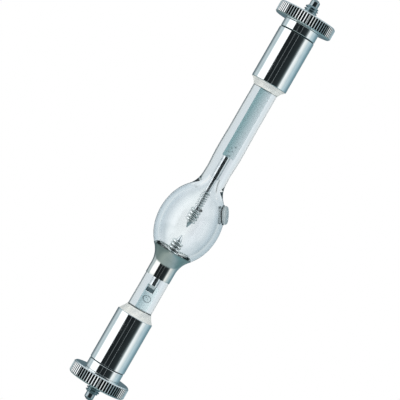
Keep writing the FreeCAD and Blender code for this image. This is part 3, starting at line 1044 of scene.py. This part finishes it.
@dataclass
class HeatCoating:
    """The reflecting film on the lower neck, with slightly ragged edges."""

    glass: Oval = GLASS
    low: float = FILM_LOW
    high: float = FILM_HIGH
    inner: float = 0.012
    outer: float = 0.075
    ragged: float = 0.05
    ragged_scale: float = 9.0
    edge: float = 1e-3  # how near to an end a corner counts as part of the edge

    def build(self) -> Piece:
        """Lay the film on.

        Returns:
            The piece.
        """
        inside, outside = (
            [corner for corner in self.glass.profile(skin) if self.low < corner[1] < self.high]
            for skin in (self.inner, self.outer)
        )
        low_end, high_end = (
            [(self.glass.radius_at(end) + skin, end) for skin in (self.inner, self.outer)]
            for end in (self.low, self.high)
        )
        mesh = turned_mesh("film", [*low_end, *outside, *high_end[::-1], *inside[::-1]], GLASS_SEGMENTS)
        for vertex in mesh.vertices:
            height = vertex.co.z / MM
            if min(abs(height - self.low), abs(height - self.high)) < self.edge:
                around = Vector((vertex.co.x, vertex.co.y, 0)).normalized()
                vertex.co.z += self.ragged * MM * noise.noise(around * self.ragged_scale + Vector((0, 0, height)))
        piece = placed("heat_coating_film", mesh, HEAT_FILM, sharp=40.0)
        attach(piece, "lamp")
        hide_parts("heat_coating")
        return piece


@dataclass
class Winding:
    """A wire wound up an electrode rod."""

    name: str
    node: str
    wire: float
    pitch: float
    length: float
    foot: float  # the height of the wire's centre where it starts
    core: float  # the radius it is wound on
    unevenness: float = 0.03

    @staticmethod
    @cache
    def tree() -> bpy.types.NodeTree:
        """The shape tree of a winding, made once.

        Returns:
            The tree.
        """
        recipe = ShapeRecipe("wound wire", ("Turns", "Radius", "Height", "Wire Radius", "Foot", "Unevenness"))
        spiral = recipe.out("GeometryNodeCurveSpiral", {
            "Resolution": 40,
            "Rotations": recipe.size("Turns"),
            "Start Radius": recipe.size("Radius"),
            "End Radius": recipe.size("Radius"),
            "Height": recipe.size("Height"),
        })
        wander = recipe.grain(recipe.out("GeometryNodeInputPosition"), 700.0, 1.0) - 0.5
        shift = recipe.vector(0.0, 0.0, wander * recipe.size("Unevenness"))
        uneven = recipe.out("GeometryNodeSetPosition", {"Geometry": spiral, "Offset": shift})
        wire = recipe.size("Wire Radius")
        section = recipe.out("GeometryNodeCurvePrimitiveCircle", {"Resolution": 16, "Radius": wire})
        tube = recipe.out("GeometryNodeCurveToMesh", {"Curve": uneven, "Profile Curve": section, "Fill Caps": True})
        raised = {"Geometry": tube, "Translation": recipe.vector(0.0, 0.0, recipe.size("Foot"))}
        return recipe.done(recipe.out("GeometryNodeTransform", raised), TUNGSTEN_WIRE)

    def build(self) -> Piece:
        """Wind the wire.

        Returns:
            The piece.
        """
        piece = grown(self.name, self.tree(), {
            "Turns": self.length / self.pitch,
            "Radius": (self.core + self.wire / 2) * MM,
            "Height": self.length * MM,
            "Wire Radius": self.wire / 2 * MM,
            "Foot": self.foot * MM,
            "Unevenness": self.unevenness * MM,
        }, TUNGSTEN_WIRE)
        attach(piece, "lamp")
        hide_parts(self.node)
        return piece


HEAVY, FINE = {"wire": 0.86, "pitch": 0.93}, {"wire": 0.44, "pitch": 0.68}
WINDINGS = (
    Winding("lower_wound_heavy_wire", "lower_heavy_winding", **HEAVY, length=4.2, foot=40.55, core=0.895),
    Winding("upper_wound_heavy_wire", "upper_heavy_winding", **HEAVY, length=3.7, foot=51.15, core=0.795),
    Winding("upper_wound_fine_wire", "upper_fine_winding", **FINE, length=4.65, foot=55.5, core=0.795),
)


# Eased edges of an end plug, as steps outwards and inwards from a corner
COLLAR_EDGE = ((-0.15, 0.0), (-0.04, 0.04), (0.0, 0.15), (0.0, 0.19))
COLLAR_BEVEL = ((0.0, -0.06), (0.0, -0.02), (-0.02, 0.03))
THREAD_FOOT = ((-0.06, 0.0), (0.0, 0.08))
DOG_FOOT = ((0.0, -0.12), (0.05, -0.03))
DOG_CROWN = ((0.6, 0.01), (1.0, 0.1))  # as a share of the tip's radius, and a step inwards

THREAD_FLANK = (0.1, 0.86)  # the shares of half a pitch between which a ridge rises
THREAD_RUN_OUT = 0.55  # over how much of a pitch the thread dies out
THREAD_TURNS, KNURL_TEETH = 20.0, 256.0  # whole steps that keep a phase positive


@dataclass
class Base:
    """One end's base: sleeve, end plug with its stud, knurled nut and cement."""

    side: Side
    cone: float  # how far the cement stands out of the sleeve
    lean: float  # how far the cone's wavy edge wanders
    hollow: float  # how far the cone's side dips
    bore: float = 4.425
    sleeve_radius: float = 5.225
    sleeve_edge: float = 0.15
    sleeve_end: float = 18.0
    collar: float = 5.125
    collar_length: float = 2.7
    collar_bevel: float = 0.3
    spigot: float = 3.0  # how far the plug goes on into the sleeve
    lead_hole: float = 0.75
    lead_hole_end: float = 0.8  # from the spigot's start
    cement_depth: float = 9.0
    cement_face: float = 0.002  # how far the cement stands out of the sleeve round the cone
    cone_start: float = 0.004
    cone_tip: float = 0.1  # how far the cone's thin end stays off the shaft
    cone_skin: float = 0.02  # corners nearer to the shaft than this aren't moved in or out
    lumps: float = 0.09
    lump_scale: float = 1.1
    lump_reach: float = 2.2  # twice the share of the cone at which lumps are highest
    wave_scale: float = 1.7
    stud: float = 2.0
    thread_depth: float = 0.43
    thread_slack: float = 0.03  # how far the ridges stay inside the stud's size
    thread_slope: float = 0.05
    thread_start: float = 3.35  # just inside the nut
    thread_end: float = 5.9
    pitch: float = 0.7
    dog: float = 1.3
    dog_end: float = 7.3
    dog_round: float = 0.5
    dog_rise: float = 0.06  # how far the rounding's centre lies inside the dog's end
    dog_sweep: float = -52.0
    dog_tip: float = 0.65
    stud_end: float = 8.05
    nut_radius: float = 8.375
    nut_length: float = 3.5
    nut_bevel: float = 0.425
    nut_ease: Corner = (0.06, 0.03)  # how far along and in from a bevel's corner it is eased
    nut_play: float = 0.05  # between nut and stud
    knurl_teeth: int = 64
    knurl_depth: float = 0.19

    def _corners(self, corners: Iterable[Corner]) -> list[Corner]:
        """Corners given by depth as corners given by height."""
        return [(radius, self.side.height(depth)) for radius, depth in corners]

    def _plug(self) -> Piece:
        """The end plug turned in one piece: collar, spigot, core of the thread and dog point.

        Returns:
            The piece.
        """
        root, thread_end, tip_end = self.stud - self.thread_depth, -self.thread_end, -self.stud_end
        rim, face, bevel = self.collar, self.collar_length, self.collar_bevel
        centre = (self.dog - self.dog_round, -self.dog_end + self.dog_rise)
        outline = self._corners([
            (0.0, tip_end),
            *((self.dog_tip * share, tip_end + step) for share, step in DOG_CROWN),
            *arc(centre, self.dog_round, 0.0, self.dog_sweep, DOG_STEPS)[::-1],
            *((self.dog + out, thread_end + step) for out, step in DOG_FOOT),
            *((root + out, thread_end + step) for out, step in THREAD_FOOT),
            (root, -self.thread_start - self.thread_slope), (self.stud, -self.thread_start + self.thread_slope),
            (self.stud, 0.0),
            *((rim + out, step) for out, step in COLLAR_EDGE),
            *((rim + out, face - bevel + step) for out, step in COLLAR_BEVEL),
            (rim - bevel, face),
            (self.bore, face), (self.bore, face + self.spigot), (self.lead_hole, face + self.spigot),
            (self.lead_hole, face + self.lead_hole_end), (0.0, face + self.lead_hole_end),
        ])
        mesh = turned_mesh("plug", outline, METAL_SEGMENTS)
        piece = placed(f"{self.side.value}_turned_end_plug", mesh, PLUG_NICKEL, sharp=25.0)
        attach(piece, "lamp")
        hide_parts(f"{self.side.value}_end_plug")
        return piece

    @staticmethod
    @cache
    def thread_tree() -> bpy.types.NodeTree:
        """The shape tree of a screw thread, made once: a tube whose radius follows a rising ramp round the axis.

        Returns:
            The tree.
        """
        recipe = ShapeRecipe("screw thread", ("Root", "Crest", "Pitch", "Low", "High", "Chamfer End"))
        root, low, pitch = recipe.size("Root"), recipe.size("Low"), recipe.size("Pitch")
        tube = recipe.node("GeometryNodeMeshCylinder", {"fill_type": "NONE"}, {
            "Vertices": 96, "Side Segments": 64, "Radius": 1.0, "Depth": 1.0,
        }).outputs["Mesh"]
        x, y, share = recipe.parts(recipe.out("GeometryNodeInputPosition"))
        height = low + (share + 0.5) * (recipe.size("High") - low)
        turn = recipe.math("ARCTAN2", y, x) / (2 * math.pi)
        phase = recipe.math("FRACT", height / pitch - turn + THREAD_TURNS)
        ridge = (1.0 - abs(phase - 0.5) * 2.0).rise(*THREAD_FLANK)
        ending = abs(height - recipe.size("Chamfer End")) / (pitch * THREAD_RUN_OUT)
        cut = recipe.math("MINIMUM", ridge, recipe.math("MINIMUM", ending, 1.0))
        radius = root + (recipe.size("Crest") - root) * cut
        moved = {"Geometry": tube, "Position": recipe.vector(x * radius, y * radius, height)}
        return recipe.done(recipe.out("GeometryNodeSetPosition", moved), THREADED_NICKEL)

    def _thread(self) -> Piece:
        """The stud's free thread, from inside the nut to the dog point.

        Returns:
            The piece.
        """
        low, high = sorted((self.side.height(-self.thread_start), self.side.height(-self.thread_end + 0.02)))
        piece = grown(f"{self.side.value}_stud_thread", self.thread_tree(), {
            "Root": (self.stud - self.thread_depth) * MM,
            "Crest": (self.stud - self.thread_slack) * MM,
            "Pitch": self.pitch * MM,
            "Low": low * MM,
            "High": high * MM,
            "Chamfer End": self.side.height(-self.thread_end) * MM,
        }, THREADED_NICKEL)
        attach(piece, "lamp")
        return piece

    @staticmethod
    @cache
    def knurl_tree() -> bpy.types.NodeTree:
        """The shape tree of a straight knurl, made once: grooves pressed all round a turned blank.

        Returns:
            The tree.
        """
        recipe = ShapeRecipe("straight knurl", ("Radius", "Depth", "Teeth"))
        x, y, z = recipe.parts(recipe.out("GeometryNodeInputPosition"))
        turn = recipe.math("ARCTAN2", y, x) / (2 * math.pi)
        phase = recipe.math("FRACT", turn * recipe.size("Teeth") + KNURL_TEETH)
        groove = recipe.size("Radius") - recipe.size("Depth") * abs(phase - 0.5) * 2.0
        kept = recipe.math("MINIMUM", groove / recipe.length(x, y), 1.0)
        moved = {"Geometry": recipe.source.outputs["Geometry"], "Position": recipe.vector(x * kept, y * kept, z)}
        return recipe.done(recipe.out("GeometryNodeSetPosition", moved), KNURLED_NICKEL)

    def _nut(self) -> Piece:
        """The round nut: a turned blank with bevelled faces, knurled all round.

        Returns:
            The piece.
        """
        radius, bevel, hole = self.nut_radius, self.nut_bevel, self.stud + self.nut_play
        along, into = self.nut_ease
        edge = [
            (hole, 0.0), (radius - bevel, 0.0), (radius - bevel + along, into),
            (radius - into, bevel - along), (radius, bevel),
        ]
        outline = self._corners([
            *((out, -self.nut_length + depth) for out, depth in edge),
            *((out, -depth) for out, depth in reversed(edge)),
        ])
        piece = grown(f"{self.side.value}_turned_knurled_nut", self.knurl_tree(), {
            "Radius": radius * MM,
            "Depth": self.knurl_depth * MM,
            "Teeth": float(self.knurl_teeth),
        }, KNURLED_NICKEL, sharp=20.0, blank=turned_mesh("nut", outline, self.knurl_teeth * FLATS_TO_A_TOOTH))
        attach(piece, f"{self.side.value}_nut")
        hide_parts(f"{self.side.value}_knurled_nut")
        return piece

    def _cement(self) -> Piece:
        """The cement, with a lumpy cone outside the sleeve.

        Returns:
            The piece.
        """
        foot = self.sleeve_radius - self.sleeve_edge
        slope = [
            (foot + (SHAFT_RADIUS + self.cone_tip - foot) * share - self.hollow * math.sin(math.pi * share),
             self.sleeve_end + self.cone_start + self.cone * share)
            for share in (step / CONE_STEPS for step in range(CONE_STEPS + 1))
        ]
        outline = self._corners([
            (SHAFT_RADIUS, self.sleeve_end - self.cement_depth),
            (self.bore, self.sleeve_end - self.cement_depth),
            (self.bore, self.sleeve_end + self.cement_face),
            *slope,
            (SHAFT_RADIUS, self.sleeve_end + self.cone),
        ])
        mesh = turned_mesh("cement", outline, METAL_SEGMENTS)
        for vertex in mesh.vertices:
            depth = (vertex.co.z / MM - self.side.shoulder) * self.side.inward
            share = (depth - self.sleeve_end) / self.cone
            if share > 0.0:
                around = Vector((vertex.co.x, vertex.co.y, 0)).normalized()
                wave = noise.noise(around * self.wave_scale + Vector((0, 0, self.cone)))
                lump = noise.noise(vertex.co / MM * self.lump_scale)
                radius = vertex.co.xy.length / MM
                if radius > SHAFT_RADIUS + self.cone_skin:
                    swell = max(SHAFT_RADIUS - radius, self.lumps * lump * share * (self.lump_reach - share))
                    vertex.co.x += around.x * swell * MM
                    vertex.co.y += around.y * swell * MM
                vertex.co.z -= self.side.inward * MM * self.lean * share * (0.5 + 0.5 * wave)
        piece = placed(f"{self.side.value}_cement_cone", mesh, BASE_CEMENT, sharp=50.0)
        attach(piece, "lamp")
        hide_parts(f"{self.side.value}_cement")
        return piece

    def build(self) -> list[Piece]:
        """Make this base's own pieces."""
        return [self._plug(), self._thread(), self._nut(), self._cement()]


def dress(nodes: Mapping[str, Piece], name: str, finish: Finish) -> None:
    """Give a CAD node its finish.

    Args:
        nodes: the frame's nodes.
        name: the node's name.
        finish: what it is finished with.
    """
    node = nodes[name]
    for slot in node.material_slots:
        slot.material = finish.material()


# ---- The studio ----


DARK = seen(0.13, 0.15, 0.16)
DIM = seen(0.38, 0.46, 0.49)
OVERHEAD = seen(0.80, 0.85, 0.87)
BOX: Colour = (1.5, 1.53, 1.55)
BOX_MIDDLE: Colour = (1.6, 1.63, 1.65)
LEVEL = stops(  # what stands round the lamp at its own height, by angle to the right of the camera
    (-180, DIM), (-158, DIM), (-143, 0.48, 0.53, 0.55), (-129, 0.69, 0.75, 0.77), (-117, 0.85, 0.90, 0.92),
    (-106, 0.76, 0.83, 0.85), (-96, 0.84, 0.89, 0.91), (-88, BOX), (-43, BOX), (-40.5, DARK), (-15.6, DARK),
    (-14.6, 0.78, 0.82, 0.83), (-13.6, DARK), (10.6, DARK), (11.5, 0.72, 0.76, 0.77), (12.4, DARK),
    (42, 0.18, 0.21, 0.22), (50, 0.33, 0.37, 0.38), (56, 0.62, 0.66, 0.67), (61, 0.97, 1.0, 1.0),
    (65, (1.15, 1.18, 1.2)), (78, 0.97, 1.0, 1.0), (91, 0.80, 0.88, 0.91), (101, 0.79, 0.88, 0.91),
    (121, 0.60, 0.72, 0.77), (136, 0.49, 0.62, 0.66), (158, 0.50, 0.60, 0.64), (180, DIM),
)
RAISED = stops(  # what stands higher up: the soft boxes' bright middles, with soft sides
    (-180, 0.5, 0.6, 0.64), (-120, 0.80, 0.86, 0.89), (-88, BOX_MIDDLE), (-52, BOX_MIDDLE), (-24, 0.5, 0.55, 0.57),
    (30, 0.4, 0.45, 0.47), (58, BOX_MIDDLE), (88, BOX_MIDDLE), (120, 0.76, 0.84, 0.87), (180, 0.5, 0.6, 0.64),
)
LOW = stops(  # what stands below the lamp
    (-180, 0.46, 0.55, 0.56), (-96, 0.50, 0.58, 0.58), (-50, 0.64, 0.71, 0.70), (30, 0.64, 0.72, 0.73),
    (70, 0.60, 0.70, 0.73), (110, 0.46, 0.61, 0.64), (180, 0.46, 0.55, 0.56),
)
THROUGH = stops(  # what is seen through the glass, by angle to the right of straight back
    (-90, 0.87, 0.87, 0.86), (-64, 0.92, 0.93, 0.93), (-50, 0.92, 0.945, 0.955), (-43, 0.89, 0.92, 0.935),
    (-36, 0.86, 0.90, 0.92), (-27, 0.89, 0.93, 0.95), (-20, 0.85, 0.885, 0.91), (-9, 0.83, 0.87, 0.89),
    (-3.5, 0.93, 0.96, 0.97), (0, 0.96, 0.985, 0.99), (2.5, 0.90, 0.93, 0.95), (6, 0.83, 0.87, 0.89),
    (28, 0.83, 0.87, 0.89), (46, 0.86, 0.89, 0.90), (53, 0.72, 0.76, 0.77), (58, 0.48, 0.51, 0.52),
    (66, 0.55, 0.58, 0.59), (76, 0.80, 0.83, 0.84), (90, 0.80, 0.83, 0.84),
)


@dataclass
class Studio:
    """Camera, surroundings, lamps and floor."""

    azimuth: float = 27.5  # of the camera, in degrees from -Y towards +X
    distance: float = 559.0
    aside: float = -0.5  # how far the camera stands to the right of the lamp's axis
    eye_height: float = 67.7
    aim_height: float = 57.3
    roll: float = 29.9
    lens: float = 186.8
    sensor: float = 36.0
    lamps_near: float = 0.35  # towards the camera, in metres, as the lamps' other sizes
    lamps_aside: float = 0.4
    lamps_height: float = 0.2
    lamps_aim: float = 0.0574
    lamps_size: tuple[float, float] = (0.3, 0.5)
    raised_from: tuple[float, float] = (0.3, 0.5)  # the sines of the heights between which a ring starts
    overhead_from: tuple[float, float] = (0.6, 0.82)
    low_from: tuple[float, float] = (0.24, 0.38)
    behind_from: tuple[float, float] = (0.0, 0.3)
    floor_height: float = -60.0
    floor_radius: float = 3.0  # in metres
    matt_light: Colour = (0.5, 0.51, 0.52)  # the even surround that matt surfaces are lit by

    def camera(self) -> Piece:
        """The camera, rolled so that the lamp leans as it does in the photograph.

        Returns:
            The camera.
        """
        turn = math.radians(self.azimuth)
        aside = Vector((math.cos(turn), math.sin(turn), 0)) * self.aside
        out, back = math.sin(turn) * self.distance, math.cos(turn) * self.distance
        eye = (Vector((out, -back, self.eye_height)) + aside) * MM
        aim = (Vector((0, 0, self.aim_height)) + aside) * MM
        data = bpy.data.cameras.new("camera")
        data.sensor_width, data.lens = self.sensor, self.lens
        data.clip_start, data.clip_end = 0.01, 10.0
        piece = linked("camera", data)
        piece.rotation_mode = "QUATERNION"
        piece.location = eye
        rolled = Quaternion((0, 0, 1), math.radians(self.roll))
        piece.rotation_quaternion = (aim - eye).to_track_quat("-Z", "Y") @ rolled
        bpy.context.scene.camera = piece
        return piece

    def world(self) -> None:
        """Soft boxes and dark screens all round, white to the camera."""
        world = bpy.data.worlds.new("studio")
        world.use_nodes = True
        bpy.context.scene.world = world
        recipe = Recipe(world.node_tree)
        east, north, up = recipe.parts(recipe.out("ShaderNodeTexCoord", output="Generated"))
        turn = math.radians(self.azimuth)
        right = east * math.cos(turn) + north * math.sin(turn)
        near = east * math.sin(turn) - north * math.cos(turn)

        def ring(colours: Stops, angle: Signal) -> Socket:
            """Colours by angle, spread over the angles that they cover.

            Args:
                colours: the stops.
                angle: the angle to read them at, in radians.

            Returns:
                The colour's socket.
            """
            first, last = colours[0][0], colours[-1][0]
            shares = [((place - first) / (last - first), colour) for place, colour in colours]
            where = (angle - math.radians(first)) / math.radians(last - first)
            return recipe.node("ShaderNodeValToRGB", {"stops": shares}, {"Fac": where}).outputs["Color"]

        def rays(kind: str) -> Signal:
            """1 for rays of a kind, otherwise 0."""
            return Signal(recipe, path[f"Is {kind} Ray"])

        path = recipe.node("ShaderNodeLightPath").outputs
        around = recipe.math("ARCTAN2", right, near)
        room = recipe.mix(up.rise(*self.raised_from), ring(LEVEL, around), ring(RAISED, around))
        room = recipe.mix(up.rise(*self.overhead_from), room, OVERHEAD)
        room = recipe.mix((-up).rise(*self.low_from), room, ring(LOW, around))
        through = ring(THROUGH, recipe.math("ARCTAN2", right, -near))
        seen_through = recipe.mix(rays("Transmission") * (-near).rise(*self.behind_from), room, through)
        lit = recipe.mix(rays("Diffuse"), seen_through, self.matt_light)
        back = recipe.own("BACKGROUND")
        recipe.feed(back.inputs["Color"], recipe.mix(rays("Camera"), lit, WHITE))
        recipe.feed(back.inputs["Strength"], 1.0)

    def lamps(self) -> None:
        """Two soft lamps that light what is matt. Metal and glass show the surroundings instead."""
        turn = math.radians(self.azimuth)
        towards = Vector((math.sin(turn), -math.cos(turn), 0))
        right = Vector((math.cos(turn), math.sin(turn), 0))
        aim = Vector((0, 0, self.lamps_aim))
        for name, side, power, tint in (
            ("left_lamp", -1.0, 1.1, (1.0, 0.975, 0.94)), ("right_lamp", 0.9, 0.7, (0.86, 0.96, 1.0)),
        ):
            light = bpy.data.lights.new(name, "AREA")
            light.shape, light.energy, light.color = "RECTANGLE", power, tint
            light.size, light.size_y = self.lamps_size
            piece = linked(name, light)
            piece.location = (
                towards * self.lamps_near + right * side * self.lamps_aside + Vector((0, 0, self.lamps_height)))
            piece.rotation_mode = "QUATERNION"
            piece.rotation_quaternion = (aim - piece.location).to_track_quat("-Z", "Y")
            piece.visible_glossy = piece.visible_transmission = piece.visible_camera = False

    def floor(self) -> None:
        """A plain pale floor, white to the camera and open from below."""
        shell = bmesh.new()
        bmesh.ops.create_circle(shell, cap_ends=True, radius=self.floor_radius, segments=64)
        bmesh.ops.translate(shell, vec=(0, 0, self.floor_height * MM), verts=shell.verts)
        mesh = bpy.data.meshes.new("floor")
        shell.to_mesh(mesh)
        shell.free()
        material = bpy.data.materials.new("pale_floor")
        material.use_nodes = True
        material.node_tree.nodes.clear()
        recipe = Recipe(material.node_tree)
        camera_ray = recipe.out("ShaderNodeLightPath", output="Is Camera Ray")
        matt = recipe.out("ShaderNodeBsdfDiffuse", {"Color": (0.9, 0.9, 0.9)})
        glow = recipe.out("ShaderNodeEmission", {"Color": WHITE, "Strength": 1.0})
        shown = recipe.out("ShaderNodeMixShader", {0: camera_ray, 1: matt, 2: glow})
        clear = recipe.out("ShaderNodeBsdfTransparent")
        back = recipe.out("ShaderNodeNewGeometry", output="Backfacing")
        ended = recipe.out("ShaderNodeMixShader", {0: back, 1: shown, 2: clear})
        recipe.node("ShaderNodeOutputMaterial", values={"Surface": ended})
        mesh.materials.append(material)
        piece = linked("floor", mesh)
        piece.visible_glossy = piece.visible_transmission = False

    def build(self) -> None:
        """Set up the whole studio."""
        bpy.context.scene.view_settings.view_transform = "Standard"
        self.world()
        self.lamps()
        self.floor()
        self.camera()


def main() -> None:
    """Load the frame, build and dress the lamp, and set up the studio."""
    logging.basicConfig(level=logging.INFO, format="%(name)s: %(message)s")
    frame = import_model()
    nodes = frame["nodes"]

    pieces = [
        Envelope().build(),
        HeatCoating().build(),
        *(winding.build() for winding in WINDINGS),
        *Base(Side.LOWER, cone=2.3, lean=0.25, hollow=0.12).build(),
        *Base(Side.UPPER, cone=1.9, lean=0.2, hollow=0.22).build(),
    ]
    for piece in pieces:
        log.info("%s: %d faces", piece.name, len(piece.data.polygons))

    for side in Side:
        dress(nodes, f"{side.value}_base_sleeve", BRIGHT_NICKEL)
        dress(nodes, f"{side.value}_electrode_rod", TUNGSTEN_ROD)
        dress(nodes, f"{side.value}_outer_lead", LEAD_ROD)
    dress(nodes, "lower_seal_foil", LOWER_FOIL)
    dress(nodes, "upper_seal_foil", UPPER_FOIL)
    dress(nodes, "lower_weld_tab", TAB_METAL)
    dress(nodes, "mercury_bead", MERCURY)
    Studio().build()

    bpy.context.view_layer.update()


if __name__ == "__main__":
    main()
